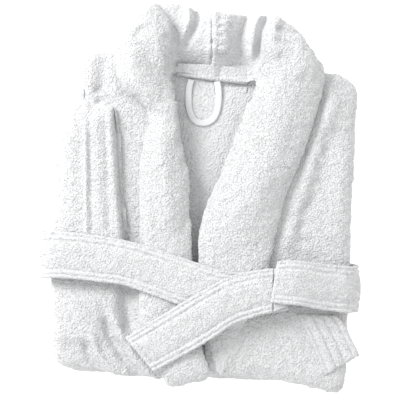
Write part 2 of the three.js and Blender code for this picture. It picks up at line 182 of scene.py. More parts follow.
def soft_copy(name, node, voxel):
    """A copy of a CAD ply in even faces, ready to be softened."""
    thing = new_object(name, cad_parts[node].data.copy())
    body = bmesh.new()
    body.from_mesh(thing.data)
    bmesh.ops.remove_doubles(body, verts=body.verts, dist=1e-5)
    body.to_mesh(thing.data)
    body.free()
    thing.data.materials.clear()
    remesh = thing.modifiers.new("even", "REMESH")
    remesh.mode = "VOXEL"
    remesh.voxel_size = voxel
    smooth = thing.modifiers.new("soft", "SMOOTH")
    smooth.iterations = 3
    return flattened(thing)


def swell(thing, pressure, cap):
    """Plumps a ply by cloth simulation under a little inner pressure, moving no point past cap."""
    before = points_of(thing)
    cloth = thing.modifiers.new("cloth", "CLOTH")
    cloth.settings.quality = 5
    cloth.settings.use_pressure = True
    cloth.settings.uniform_pressure_force = pressure
    cloth.settings.effector_weights.gravity = 0
    cloth.settings.tension_stiffness = 12
    cloth.settings.compression_stiffness = 8
    cloth.settings.bending_stiffness = 0.4
    cloth.point_cache.frame_start = 1
    cloth.point_cache.frame_end = 20
    scene = bpy.context.scene
    for step in range(1, 19):
        scene.frame_set(step)
    flattened(thing)
    scene.frame_set(1)
    move = points_of(thing) - before
    reach = np.linalg.norm(move, axis=1, keepdims=True)
    set_points(thing, before + move * np.minimum(1, cap / np.maximum(reach, 1e-9)))


def finer(thing, levels):
    subdivide = thing.modifiers.new("finer", "SUBSURF")
    subdivide.levels = subdivide.render_levels = levels
    return flattened(thing)


def along_path(points, path):
    """In plan: distance from a path, share of the way along it, and side (left is above 0)."""
    path = np.array(path, float) * MM
    lengths = np.linalg.norm(np.diff(path, axis=0), axis=1)
    best = np.full(len(points), 1e9)
    share, side = np.zeros(len(points)), np.ones(len(points))
    gone = 0.0
    for start, stop, length in zip(path[:-1], path[1:], lengths):
        way = (stop - start) / length
        from_start = points[:, :2] - start
        step = np.clip(from_start @ way, 0, length)
        off = np.linalg.norm(from_start - step[:, None] * way, axis=1)
        nearer = off < best
        best = np.where(nearer, off, best)
        share = np.where(nearer, (gone + step) / lengths.sum(), share)
        turn = way[0] * from_start[:, 1] - way[1] * from_start[:, 0]
        side = np.where(nearer, np.sign(turn), side)
        gone += length
    return best, share, side


def smooth_step(value):
    value = np.clip(value, 0, 1)
    return value * value * (3 - 2 * value)


def lift(points, folds, ledges):
    """Height added by folds (path in mm, half width, height), which fade at the path's ends, and
    by ledges (path, width of the slope, height to the left of the path, how far they reach)."""
    height = np.zeros(len(points))
    for path, width, rise in folds:
        off, share, _ = along_path(points, path)
        fade = smooth_step(np.minimum(share, 1 - share) * 5)
        height += rise * MM * np.exp(-((off / (width * MM)) ** 2)) * (0.15 + 0.85 * fade)
    for path, width, rise, reach in ledges:
        off, _, side = along_path(points, path)
        height += rise * MM * smooth_step(off * side / (width * MM)) * (
            1 - smooth_step(off / (reach * MM) - 1))
    return height


def sculpt(thing, folds, ledges=(), free_beyond=None):
    """Works folds into the upper face of a piece, and through both faces where it hangs free."""
    points, normals = points_of(thing), normals_of(thing)
    weight = np.clip(normals[:, 2] * 1.6, 0, 1)
    if free_beyond is not None:
        weight = np.maximum(weight, smooth_step((points[:, 1] / MM - free_beyond) / 10))
    points[:, 2] += lift(points, folds, ledges) * weight
    set_points(thing, points)


LOWEST = 0.4 * MM  # nothing sinks into what the bundle lies on


def pile(thing, seed, loops=0.5, crumple=0.5, wave=1.0, grain=2.9):
    """Works terry's own unevenness into a mesh, along its normals. Depths in mm."""
    points, normals = points_of(thing), normals_of(thing)
    height = loops * lattice_noise(points, grain * MM, seed)
    height += loops * 0.6 * lattice_noise(points, grain * 1.9 * MM, seed + 1)
    height += crumple * lattice_noise(points, 9 * MM, seed + 2)
    height += crumple * 0.8 * lattice_noise(points, 19 * MM, seed + 3)
    height += wave * lattice_noise(points, 48 * MM, seed + 4)
    points = points + normals * (height * MM)[:, None]
    points[:, 2] = np.maximum(points[:, 2], LOWEST)
    set_points(thing, points)
    for face in thing.data.polygons:
        face.use_smooth = True


def terry_group():
    """Loops of pile: a height, and a painted shade for the colour, darker between the loops where shade
    falls, mixed with random tone.
    """
    group = bpy.data.node_groups.new("terry_loops", "ShaderNodeTree")
    face = group.interface
    face.new_socket("Loop Size", in_out="INPUT", socket_type="NodeSocketFloat")
    face.new_socket("Unevenness", in_out="INPUT", socket_type="NodeSocketFloat")
    face.new_socket("Height", in_out="OUTPUT", socket_type="NodeSocketFloat")
    face.new_socket("Shade", in_out="OUTPUT", socket_type="NodeSocketFloat")
    nodes, links = group.nodes, group.links
    given, out = nodes.new("NodeGroupInput"), nodes.new("NodeGroupOutput")
    place = nodes.new("ShaderNodeTexCoord")
    scale = nodes.new("ShaderNodeMath")
    scale.operation = "DIVIDE"
    scale.inputs[0].default_value = 1.0
    links.new(given.outputs["Loop Size"], scale.inputs[1])
    drift = nodes.new("ShaderNodeTexNoise")
    drift.inputs["Scale"].default_value = 260
    drift.inputs["Detail"].default_value = 1
    links.new(place.outputs["Object"], drift.inputs["Vector"])
    bend = nodes.new("ShaderNodeVectorMath")
    bend.operation = "MULTIPLY_ADD"
    bend.inputs[1].default_value = (0.0016, 0.0016, 0.0016)
    links.new(drift.outputs["Color"], bend.inputs[0])
    links.new(place.outputs["Object"], bend.inputs[2])
    cells = nodes.new("ShaderNodeTexVoronoi")
    cells.feature = "SMOOTH_F1"
    cells.inputs["Smoothness"].default_value = 0.35
    links.new(bend.outputs[0], cells.inputs["Vector"])
    links.new(scale.outputs[0], cells.inputs["Scale"])
    fibre = nodes.new("ShaderNodeTexNoise")
    fibre.inputs["Scale"].default_value = 1500
    fibre.inputs["Detail"].default_value = 3
    links.new(place.outputs["Object"], fibre.inputs["Vector"])
    broad = nodes.new("ShaderNodeTexNoise")
    broad.inputs["Scale"].default_value = 120
    broad.inputs["Detail"].default_value = 3
    links.new(place.outputs["Object"], broad.inputs["Vector"])
    top = nodes.new("ShaderNodeMath")
    top.operation = "SUBTRACT"
    top.inputs[0].default_value = 1.0
    links.new(cells.outputs["Distance"], top.inputs[1])
    mixed = nodes.new("ShaderNodeMath")
    mixed.operation = "MULTIPLY_ADD"
    mixed.inputs[1].default_value = 0.35
    links.new(fibre.outputs["Fac"], mixed.inputs[0])
    links.new(top.outputs[0], mixed.inputs[2])
    uneven = nodes.new("ShaderNodeMath")
    uneven.operation = "MULTIPLY_ADD"
    links.new(broad.outputs["Fac"], uneven.inputs[0])
    links.new(given.outputs["Unevenness"], uneven.inputs[1])
    links.new(mixed.outputs[0], uneven.inputs[2])
    # Painted shade: the colour factor follows the loop height and is darker in the gaps between loops;
    # the broad noise adds random tone.
    shade = nodes.new("ShaderNodeMapRange")
    shade.inputs["From Min"].default_value = 0.35
    shade.inputs["From Max"].default_value = 1.25
    links.new(uneven.outputs[0], shade.inputs["Value"])
    links.new(uneven.outputs[0], out.inputs["Height"])
    links.new(shade.outputs["Result"], out.inputs["Shade"])
    return group


terry_loops = terry_group()


def terry_material(name, light, gap_shade, loop_mm, depth_mm, unevenness=0.8, sheen=0.25):
    material = bpy.data.materials.new(name)
    material.use_nodes = True
    nodes, links = material.node_tree.nodes, material.node_tree.links
    shader = nodes["Principled BSDF"]
    shader.inputs["Roughness"].default_value = 0.96
    shader.inputs["Specular IOR Level"].default_value = 0.12
    shader.inputs["Sheen Weight"].default_value = sheen
    shader.inputs["Sheen Roughness"].default_value = 0.6
    loops = nodes.new("ShaderNodeGroup")
    loops.node_tree = terry_loops
    loops.inputs["Loop Size"].default_value = loop_mm * MM
    loops.inputs["Unevenness"].default_value = unevenness
    # The ramp paints shade into the base colour: the darker colour goes between the loops, the pale one
    # on the loop tops.
    colour = nodes.new("ShaderNodeValToRGB")
    colour.color_ramp.elements[0].color = (*gap_shade, 1)
    colour.color_ramp.elements[1].color = (*light, 1)
    links.new(loops.outputs["Shade"], colour.inputs["Fac"])
    links.new(colour.outputs["Color"], shader.inputs["Base Color"])
    bump = nodes.new("ShaderNodeBump")
    bump.inputs["Strength"].default_value = 0.9
    bump.inputs["Distance"].default_value = depth_mm * MM
    links.new(loops.outputs["Height"], bump.inputs["Height"])
    links.new(bump.outputs["Normal"], shader.inputs["Normal"])
    return material


# Pale colour of the loop tops, and a darker colour that paints the shade between the loops.
TERRY_LIGHT, TERRY_GAP_SHADE = (0.67, 0.672, 0.678), (0.50, 0.503, 0.511)
body_terry = terry_material("body_terry", TERRY_LIGHT, TERRY_GAP_SHADE, 2.3, 1.5)


def lay(thing, material, body, slot, *nodes):
    """Gives a piece its cloth and its body, and hides the CAD nodes that it stands for."""
    thing.data.materials.clear()
    thing.data.materials.append(material)
    if body:
        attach(thing, body)
    if nodes:
        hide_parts(*nodes)
    return thing


COARSE = 5.0 * MM  # face size that the plies are softened at


def folded_ply(name, node, seed, levels=1, puff=(4.0, 2.5), folds=(), ledges=(), rests_on=(),
               area=None, **nap):
    thing = soft_copy(name, node, COARSE)
    swell(thing, puff[0], puff[1] * MM)
    finer(thing, levels)
    sculpt(thing, folds, ledges)
    pile(thing, seed, **nap)
    lay(thing, body_terry, "folded_robe", "robe_terry", node)
    return thing


folded_ply("skirt_under_fold_cloth", "skirt_under_fold", 11)
folded_ply("skirt_upper_fold_cloth", "skirt_upper_fold", 12,
           rests_on=["skirt_under_fold_cloth"])

# ---- Patch pockets -----------------------------------------------------------------------------
# Two plain patches of the same terry, sewn to the fronts and shut inside the folds.

folded_ply("left_pocket_patch", "left_patch_pocket", 13, puff=(1.0, 0.3))
folded_ply("right_pocket_patch", "right_patch_pocket", 14, puff=(1.0, 0.3))

# ---- Left side, right sleeve and right cuff ----------------------------------------------------
# The side of the back and the whole right sleeve, folded in behind before the skirt came up.

folded_ply("left_side_cloth", "left_side_fold", 15, rests_on=["skirt_upper_fold_cloth"])
folded_ply("right_sleeve_cloth", "right_sleeve", 16,
           rests_on=["skirt_upper_fold_cloth"])
folded_ply("right_cuff_band", "right_cuff", 17, rests_on=["skirt_upper_fold_cloth"])

# ---- Back panel and fronts ---------------------------------------------------------------------
# The back shows its inner face in the neck; the fronts lie over it and run down to the turned skirt.

back_panel = folded_ply("back_panel_cloth", "back_panel", 18, loops=0.3, crumple=0.3, wave=0.7,
                        rests_on=["left_side_cloth", "right_sleeve_cloth"])
NECK_TUCK = 9.0  # the back reaches this far under the collar, beyond the neck seam
points = points_of(back_panel) / MM
tucked = smooth_step((points[:, 1] - 124) / 12) * smooth_step((points[:, 0] + 48) / 14) * (
    smooth_step((72 - points[:, 0]) / 14))
points[:, 1] += NECK_TUCK * tucked
set_points(back_panel, points * MM)
left_front = folded_ply(
    "left_front_cloth", "left_front", 19, levels=2, rests_on=["back_panel_cloth"],
    folds=[
        ([(-134, 140), (-126, 132), (-118, 124)], 7, 4),
        ([(-140, 132), (-131, 117), (-122, 108), (-108, 112)], 5, -7),
        ([(-152, 128), (-146, 112), (-140, 102)], 5, 3),
        ([(-112, 166), (-112, 140), (-116, 118)], 8, -4),
        ([(-138, -105), (-136, -170)], 26, 5.5),
        ([(-104, -120), (-90, -155), (-72, -184), (-44, -218)], 6, 6),
        ([(-112, -128), (-104, -158), (-86, -186), (-58, -214)], 5, -7),
        ([(-126, -150), (-117, -178), (-100, -196), (-72, -210)], 4.5, 4.5),
        ([(-134, -160), (-126, -186), (-110, -203), (-86, -214)], 4.5, -4.5),
        ([(-168, -120), (-160, -170), (-140, -200)], 8, 2.5),
        ([(-165, -200), (-120, -212), (-70, -222)], 9, -5),
        ([(-84, -92), (-84, -125), (-78, -156)], 9, -9),
    ])
right_front = folded_ply(
    "right_front_cloth", "right_front", 20, levels=2, rests_on=["back_panel_cloth"],
    folds=[
        ([(150, 150), (158, 110), (150, 70)], 16, 3),
        ([(147, 84), (142, 66), (150, 50)], 8, -3),
        ([(126, 0), (112, -22), (118, -40)], 9, -3),
        ([(165, 60), (160, -10), (158, -60)], 14, 3),
        ([(151, 140), (149, 110), (143, 80), (128, 42), (116, -1), (107, -30), (95, -73)], 9, 6),
        ([(60, -135), (36, -180), (18, -204)], 5, 1.5),
    ])

# ---- Left sleeve and cuff ----------------------------------------------------------------------
# The left sleeve lies over the front with its open cuff towards the lapel. The cuff is a doubled
# band, sewn down by rows of stitches that leave soft ridges along it.


def joined_copy(name, nodes, voxel):
    """One even copy of several CAD plies that are sewn into one piece."""
    body = bmesh.new()
    for node in nodes:
        body.from_mesh(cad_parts[node].data)
    mesh = bpy.data.meshes.new(name)
    bmesh.ops.remove_doubles(body, verts=body.verts, dist=1e-5)
    body.to_mesh(mesh)
    body.free()
    thing = new_object(name, mesh)
    remesh = thing.modifiers.new("even", "REMESH")
    remesh.mode = "VOXEL"
    remesh.voxel_size = voxel
    smooth = thing.modifiers.new("soft", "SMOOTH")
    smooth.iterations = 4
    return flattened(thing)


SLEEVE_SEAM = -134.8  # where the sleeve and its cuff meet, across the bundle
SEAM_FILL = 13.0
SLEEVE_FLOOR = 61.5
SLEEVE_LEVEL = 71.6
CUFF_REACH = 2.6  # the lower layer of the cuff shows this much further

left_sleeve = joined_copy("left_sleeve_cloth", ("left_sleeve", "left_cuff"), COARSE)
points = points_of(left_sleeve)
beside_seam = (np.abs(points[:, 0] - SLEEVE_SEAM * MM) < SEAM_FILL * MM) & (
    points[:, 2] > SLEEVE_FLOOR * MM) & (points[:, 1] < 0.096)
points[:, 2] = np.where(beside_seam, np.maximum(points[:, 2], SLEEVE_LEVEL * MM), points[:, 2])
set_points(left_sleeve, points)
smooth = left_sleeve.modifiers.new("soft", "SMOOTH")
smooth.iterations = 3
flattened(left_sleeve)
points = points_of(left_sleeve)
points[:, 0] += CUFF_REACH * MM * smooth_step((points[:, 0] / MM + 96) / 10)
set_points(left_sleeve, points)
swell(left_sleeve, 4.0, 2.0 * MM)
finer(left_sleeve, 2)
sculpt(
    left_sleeve,
    folds=[
        ([(-131, 104), (-130, 0), (-129, -60)], 2.6, 2.0),
        ([(-126, 104), (-124, 0), (-123, -60)], 2.2, -1.6),
        ([(-118, 106), (-114, 0), (-113, -60)], 4, 1.0),
        ([(-109, 108), (-105, 0), (-103, -60)], 2.4, -1.4),
        ([(-104, 118), (-100, 40), (-92, -60)], 3.6, 1.8),
        ([(-98, 122), (-94.5, 40), (-91, -10), (-86.5, -60)], 1.6, -3.5),
        ([(-91, 116), (-88, 40), (-85, -10), (-81, -60)], 2.6, 1.4),
    ],
    ledges=[([(-100, 128), (-96, 40), (-92.5, -10), (-88, -64)], 2.4, -5.5, 40)])
pile(left_sleeve, 21)
lay(left_sleeve, body_terry, "folded_robe", "robe_terry", "left_sleeve", "left_cuff")

# ---- Shawl collar ------------------------------------------------------------------------------
# Two long halves, each a facing sewn to an under collar along the free edge and turned out, and
# joined to each other at the centre back. They lie over the fronts and round the back neck.


CENTRE_BACK = 15.0  # where the two halves are joined, across the bundle
SEAM_CLOSE = 5.2  # how far each half is drawn to the join
NECK_CLOSE = (1.0, 8.0)  # and down to the neck seam, at its left and right ends
NECK_LEVEL, NECK_PRESS = 51.0, 0.5  # the collar is stitched down flat along the neck seam


def collar_half(name, side, seed, inner_edge, inner_reach, folds, ledges,
                pressed=()):
    nodes = (f"collar_facing_{side}", f"under_collar_{side}")
    thing = joined_copy(name, nodes, COARSE)
    swell(thing, 4.0, 2.5 * MM)
    finer(thing, 2)
    points = points_of(thing) / MM
    towards_seam = smooth_step(1 - np.abs(points[:, 0] - CENTRE_BACK) / 14) * (points[:, 1] > 136)
    points[:, 0] += SEAM_CLOSE * towards_seam * np.sign(CENTRE_BACK - points[:, 0])
    at_neck = (points[:, 0] > -34) & (points[:, 0] < 64) & (points[:, 1] > 120)
    close = np.interp(points[:, 0], (-34, 64), NECK_CLOSE)
    at_neck = at_neck * smooth_step((points[:, 0] + 34) / 12)
    at_neck = at_neck * smooth_step((64 - points[:, 0]) / 12)
    points[:, 1] -= close * smooth_step((160 - points[:, 1]) / 14) * at_neck
    pressed_down = smooth_step((172 - points[:, 1]) / 22) * at_neck * NECK_PRESS
    points[:, 2] -= np.maximum(points[:, 2] - NECK_LEVEL, 0) * pressed_down
    inner = np.interp(points[:, 1], *inner_edge)
    beside = smooth_step(1 - np.abs(points[:, 0] - inner) / 26) * (points[:, 1] < 110)
    points[:, 0] += inner_reach * beside
    set_points(thing, points * MM)
    sculpt(thing, folds, ledges, free_beyond=150)
    for above, below, level, keep in pressed:
        points = points_of(thing)
        share = smooth_step((above * MM - points[:, 1]) / ((above - below) * MM))
        rise = np.maximum(points[:, 2] - level * MM, 0)
        points[:, 2] -= rise * share * (1 - keep)
        set_points(thing, points)
    pile(thing, seed, crumple=0.6, wave=1.2)
    lay(thing, body_terry, "folded_robe", "collar_terry", *nodes)
    return thing


collar_left = collar_half(
    "collar_left_cloth", "left", 31,
    ((-200, -68, 18, 58, 95), (3, -8, -11, -18, -24)), 3.2,
    [
        ([(-50, 232), (-45, 221), (-30, 200), (-27, 176), (-26, 158)], 4, -3.5),
        ([(1, 228), (-4, 205), (-12, 186), (-24, 168)], 5, -7),
        ([(-15, 228), (-11, 205), (-17, 184), (-27, 172)], 4.5, 5),
        ([(-68, 228), (-58, 208), (-46, 186), (-44, 160), (-38, 130)], 10, 5),
        ([(-68, 212), (-82, 186), (-79, 154), (-68, 125), (-51, 100)], 15, 4),
        ([(-60, 196), (-68, 190), (-74, 180)], 4, -2),
        ([(-39, 95), (-42, 45), (-38, -1), (-33, -47)], 13, 4),
        ([(-66, 56), (-70, 28), (-72, -47)], 5, -3),
        ([(-88, 124), (-72, 108), (-60, 84)], 4, -4),
        ([(14, 222), (12, 190), (10, 166), (9, 148)], 3, 2.5),
    ],
    [
        ([(-66, 238), (-58, 225), (-46, 213), (-37, 203), (-33.4, 187), (-33.4, 164), (-27, 136)],
         4, -11, 34),
    ])
collar_right = collar_half(
    "collar_right_cloth", "right", 32,
    ((-200, -68, -40, -10, 20, 60, 98), (14, -3, -2, 4, 17, 34, 48)), -3.2,
    [
        ([(62, 222), (52, 202), (46, 184), (47, 156)], 5, -6.5),
        ([(73, 220), (62, 197), (59, 170), (55, 152)], 4.5, 5.5),
        ([(80, 216), (71, 192), (66, 172), (66, 156)], 4.5, -5),
        ([(33, 220), (30, 190), (27, 160)], 8, 3),
        ([(94, 216), (84, 194), (82, 174), (92, 158)], 7, 5),
        ([(104, 209), (109, 186), (118, 160), (122, 131)], 15, 4),
        ([(90, 208), (103, 203), (118, 196)], 3.2, -4),
        ([(84, 194), (98, 189), (114, 186)], 3.2, -3.5),
        ([(82, 182), (96, 177), (112, 170)], 3.2, -3),
        ([(96, 120), (90, 79), (73, 33), (53, -13), (44, -53)], 20, 4),
        ([(17, 222), (17, 194), (16, 166), (15, 146)], 3, 2.0),
        ([(21, 206), (29, 203)], 2.6, -2),
        ([(20, 196), (28, 193.5)], 2.6, -2),
        ([(20, 186), (28, 184)], 2.6, -2),
        ([(19, 175), (27, 173)], 2.6, -2),
        ([(18, 164), (26, 162.5)], 2.6, -2),
        ([(59, 105), (47, 90), (33, 56), (18, 22), (5, -5)], 5, 2),
    ],
    [
        ([(62, 134), (72, 156), (72, 172), (75, 190), (82, 210), (88, 230)], 4, -10, 26),
    ],
    pressed=[(-132, -150, 60.0, 0.35)])

# ---- Inside the back neck ----------------------------------------------------------------------
# A thin shaped facing of the same cloth, a woven tape over the neck seam, and the hanger loop of
# the same tape, sewn under the seam by its two ends.

FACING_SINK = 1.0  # pressed into the pile of the back panel
neck_facing = folded_ply("back_neck_facing_cloth", "back_neck_facing", 41, puff=(0.5, 0.2),
                         loops=0.25, crumple=0.2, wave=0.3, area=0.0041,
                         rests_on=["back_panel_cloth"])

set_points(neck_facing, points_of(neck_facing) - (0, 0, FACING_SINK * MM))


def spline(points, count):
    """A smooth line through points, as that many evenly timed points."""
    points = np.array(points, float)
    before = np.vstack([2 * points[0] - points[1], points[:-1]])
    after = np.vstack([points[1:], 2 * points[-1] - points[-2]])
    slope = (after - before) / 2
    place = np.linspace(0, len(points) - 1, count)
    index = np.minimum(place.astype(int), len(points) - 2)
    share = (place - index)[:, None]
    start, stop = points[index], points[index + 1]
    return ((2 * share ** 3 - 3 * share ** 2 + 1) * start + (-2 * share ** 3 + 3 * share ** 2) * stop
            + (share ** 3 - 2 * share ** 2 + share) * slope[index]
            + (share ** 3 - share ** 2) * slope[index + 1])


def band(name, near_rim, far_rim, thickness, step, profile, upwards=1):
    """A flat strap between two rims (mm), with a worked upper face and round turned edges."""
    near_rim, far_rim = np.array(near_rim, float), np.array(far_rim, float)
    middle = (near_rim + far_rim) / 2
    length = np.linalg.norm(np.diff(spline(middle, 60), axis=0), axis=1).sum()
    width = np.linalg.norm(far_rim - near_rim, axis=1).mean()
    rows = max(6, int(length / step))
    columns = max(6, int(width / step))
    near, far = spline(near_rim, rows + 1), spline(far_rim, rows + 1)
    share = np.linspace(0, 1, columns + 1)
    face = near[:, None] + (far - near)[:, None] * share[None, :, None]
    across = np.gradient(face, axis=1)
    along = np.gradient(face, axis=0)
    normal = np.cross(along, across) * upwards
    normal /= np.linalg.norm(normal, axis=2, keepdims=True)
    position = np.linspace(0, length, rows + 1)
    full = np.sqrt(np.clip(1 - (2 * share - 1) ** 8, 0, 1))[None, :]
    ends = np.minimum(position, length - position) / thickness
    full = full * np.sqrt(np.clip(1 - np.clip(1 - ends, 0, 1) ** 2, 0.04, 1))[:, None]
    worked = profile(share * width, position, width, length)
    upper = face + normal * (full * (thickness / 2 + worked))[..., None]
    lower = face - normal * (full * thickness / 2)[..., None]
    verts = np.concatenate([upper.reshape(-1, 3), lower.reshape(-1, 3)]) * MM
    nap = smooth_step(1 + worked / 0.7)
    count = (rows + 1) * (columns + 1)
    grid = np.arange(count).reshape(rows + 1, columns + 1)
    faces = []
    for i in range(rows):
        for j in range(columns):
            a, b, c, d = grid[i, j], grid[i, j + 1], grid[i + 1, j + 1], grid[i + 1, j]
            faces.append((a, b, c, d))
            faces.append((d + count, c + count, b + count, a + count))
    ring = np.concatenate([grid[0], grid[1:, -1], grid[-1, -2::-1], grid[-2:0:-1, 0]])
    for a, b in zip(ring, np.roll(ring, -1)):
        faces.append((b, a, a + count, b + count))
    mesh = bpy.data.meshes.new(name)
    mesh.from_pydata(verts.tolist(), [], [tuple(int(v) for v in face) for face in faces])
    standing = mesh.attributes.new("nap", "FLOAT", "POINT")
    standing.data.foreach_set("value", np.concatenate([nap.ravel(), np.ones(nap.size)]))
    body = bmesh.new()
    body.from_mesh(mesh)
    bmesh.ops.remove_doubles(body, verts=body.verts, dist=1e-6)
    bmesh.ops.recalc_face_normals(body, faces=body.faces)
    body.to_mesh(mesh)
    body.free()
    return new_object(name, mesh)


def rims_of(stations):
    """Stations (x, y, level, turn in degrees, width) as two rims in mm."""
    near, far = [], []
    for x, y, level, turn, width in stations:
        angle = math.radians(turn)
        half = np.array([math.sin(angle), math.cos(angle), 0]) * width / 2
        near.append(np.array([x, y, level]) - half)
        far.append(np.array([x, y, level]) + half)
    return near, far


def tape_profile(share_mm, position, width, length):
    """Two raised selvedges and a fine rib along the middle of the tape."""
    edge = np.minimum(share_mm, width - share_mm)[None, :]
    rib = 0.5 * np.exp(-((edge - 1.1) / 0.7) ** 2) - 0.35 * np.exp(-((edge - 2.6) / 0.8) ** 2)
    weave = 0.10 * np.sin(position * 3.1)[:, None]
    return rib + weave


SEAM_CORD = 6.5  # width of the cord along the neck seam; the rest lies under the collar


def seam_profile(share_mm, position, width, length):
    """A rounded cord of cloth along the lower rim, nipped by its stitches."""
    across = np.clip(2 * share_mm / SEAM_CORD - 1, -1, 1)[None, :]
    nip = 0.4 * np.cos(position * 1.6)[:, None]
    return (2.1 + nip) * (1 - across ** 2)


LOOP_PATH = [(-9.8, 137), (-12.4, 128), (-13.2, 116), (-12.6, 104), (-9.2, 94), (-3.4, 88.4), (3.6, 87),
             (10.6, 88.6), (16.6, 94), (20.4, 104), (21.6, 116), (21.2, 128), (19.4, 135)]
LOOP_LEVEL = 51.9
LOOP_TAPE = 7.6
LOOP_THICK = 2.0
path = np.array(LOOP_PATH, float)
way = np.gradient(path, axis=0)
way /= np.linalg.norm(way, axis=1, keepdims=True)
beside = np.stack([-way[:, 1], way[:, 0]], 1) * LOOP_TAPE / 2
level = np.full((len(path), 1), LOOP_LEVEL)
hanger = band("hanger_loop_tape", np.hstack([path + beside, level]),
              np.hstack([path - beside, level]), LOOP_THICK, 0.7, tape_profile, upwards=1)
# The tape's pale loop tops, and a darker colour that paints the shade between its loops.
loop_cloth = terry_material("loop_tape", (0.74, 0.742, 0.748), (0.60, 0.603, 0.61), 0.9, 0.3,
                            unevenness=0.4, sheen=0.1)
pile(hanger, 42, loops=0.06, crumple=0.12, wave=0.2)
lay(hanger, loop_cloth, None, "loop_tape", "hanger_loop")
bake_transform(hanger)

TAPE_THICK = 2.2
neck_tape = band(
    "neck_seam_tape",
    [(-27, 141.3, 50), (-8, 138.6, 50.8), (14, 135.8, 50.8), (35, 133.4, 50.8), (55, 131, 50)],
    [(-26, 156, 54.5), (-7, 155, 55), (14, 154, 55), (35, 152, 55), (55, 149, 54.5)],
    TAPE_THICK, 0.9, seam_profile)
pile(neck_tape, 43, loops=0.25, crumple=0.2, wave=0.3)
lay(neck_tape, body_terry, "folded_robe", "loop_tape", "neck_tape")

# ---- Belt --------------------------------------------------------------------------------------
# One long strap of folded terry, turned in and stitched twice along both edges. It runs under the
# bundle, up both sides and over the front, where one end passes under the other.

BELT_THICK = 5.0


def groove(off, depth, width):
    return -depth * np.exp(-((off / width) ** 2))


def belt_profile(share_mm, position, width, length):
    """Grooves of the two stitch rows along each edge, the rolled edge and the puffed middle."""
    edge = np.minimum(share_mm, width - share_mm)[None, :]
    rows = groove(edge - 4.2, 1.5, 1.3) + groove(edge - 9.8, 1.3, 1.4)
    puff = 0.9 * smooth_step((edge - 11) / 8)
    return np.repeat(rows + puff, len(position), 0)


def end_profile(share_mm, position, width, length):
    """The same, with the stitch rows carried across the finished end of the belt."""
    from_end = position[:, None] + 0 * share_mm[None, :]
    return np.maximum(belt_profile(share_mm, position, width, length), -1.6) + (
        groove(from_end - 6, 2.2, 1.5) + groove(from_end - 12, 1.6, 1.4))


def ribbed_profile(share_mm, position, width, length):
    """The short end lies in lengthwise ridges, pulled by its four rows of stitches."""
    lines = [groove(share_mm[None, :] - place * width, 2.0, 2.0)
             for place in (0.13, 0.36, 0.6, 0.86)]
    return np.repeat(sum(lines) + 0.9, len(position), 0)


def belt_piece(name, node, stations, body, seed, upwards=1, profile=belt_profile, **nap):
    thing = band(name, *rims_of(stations), BELT_THICK, 1.1, profile, upwards=upwards)
    pile(thing, seed, **{"loops": 0.42, "crumple": 0.4, "wave": 0.5, **nap})
    lay(thing, belt_terry, body, "belt_terry", node)
    return thing


# The belt has the same painted shade between its loops as the body cloth.
belt_terry = terry_material("belt_terry", TERRY_LIGHT, TERRY_GAP_SHADE, 2.0, 1.2)

BELT = 53.0
LEFT_X, RIGHT_X = -182.6, 182.4
LEFT_Y, RIGHT_Y = -64.2, -103.6
UNDER_LEVEL, UNDER_END = 4.4, 11.0  # middle of the belt under the bundle, and where it turns up
TURN_UP = ((0, UNDER_END), (1.5, 6.8), (6, UNDER_LEVEL), (15, UNDER_LEVEL), (35, UNDER_LEVEL),
           (78, UNDER_LEVEL))


def under_stations():
    """From the left side to the right; the belt lies a little lower at the right."""
    places = [(LEFT_X + inset, level) for inset, level in TURN_UP] + [(0, UNDER_LEVEL)]
    places += [(RIGHT_X - inset, level) for inset, level in reversed(TURN_UP)]
    slope = (RIGHT_Y - LEFT_Y) / (RIGHT_X - LEFT_X)
    return [(x, LEFT_Y + slope * (x - LEFT_X), level, 0, BELT) for x, level in places]


def flat_profile(share_mm, position, width, length):
    """The stitch rows alone: pressed flat by the weight of the bundle."""
    return np.minimum(belt_profile(share_mm, position, width, length), 0)


belt_piece("belt_back_run_band", "belt_back_run", under_stations(), "folded_robe", 50,
           upwards=-1, profile=flat_profile, loops=0.15, crumple=0.15, wave=0.15)

# Two strips of the same terry stitched to the robe at both ends, which hold the belt at the back.
LOOP_STRIP, STRIP_THICK = 12.0, 1.0


def even_profile(share_mm, position, width, length):
    return np.zeros((len(position), len(share_mm)))


for side in ("left", "right"):
    low, high = (np.array(corner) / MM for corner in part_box(f"belt_loop_{side}"))
    middle = (low + high) / 2
    stations = [(middle[0], y, middle[2], 90, LOOP_STRIP)
                for y in np.linspace(low[1], high[1], 5)]
    strip = band(f"belt_loop_{side}_strip", *rims_of(stations), STRIP_THICK, 1.1, even_profile)
    pile(strip, 56 if side == "left" else 57, loops=0.1, crumple=0.08, wave=0.05)
    lay(strip, belt_terry, "folded_robe", "belt_terry", f"belt_loop_{side}")

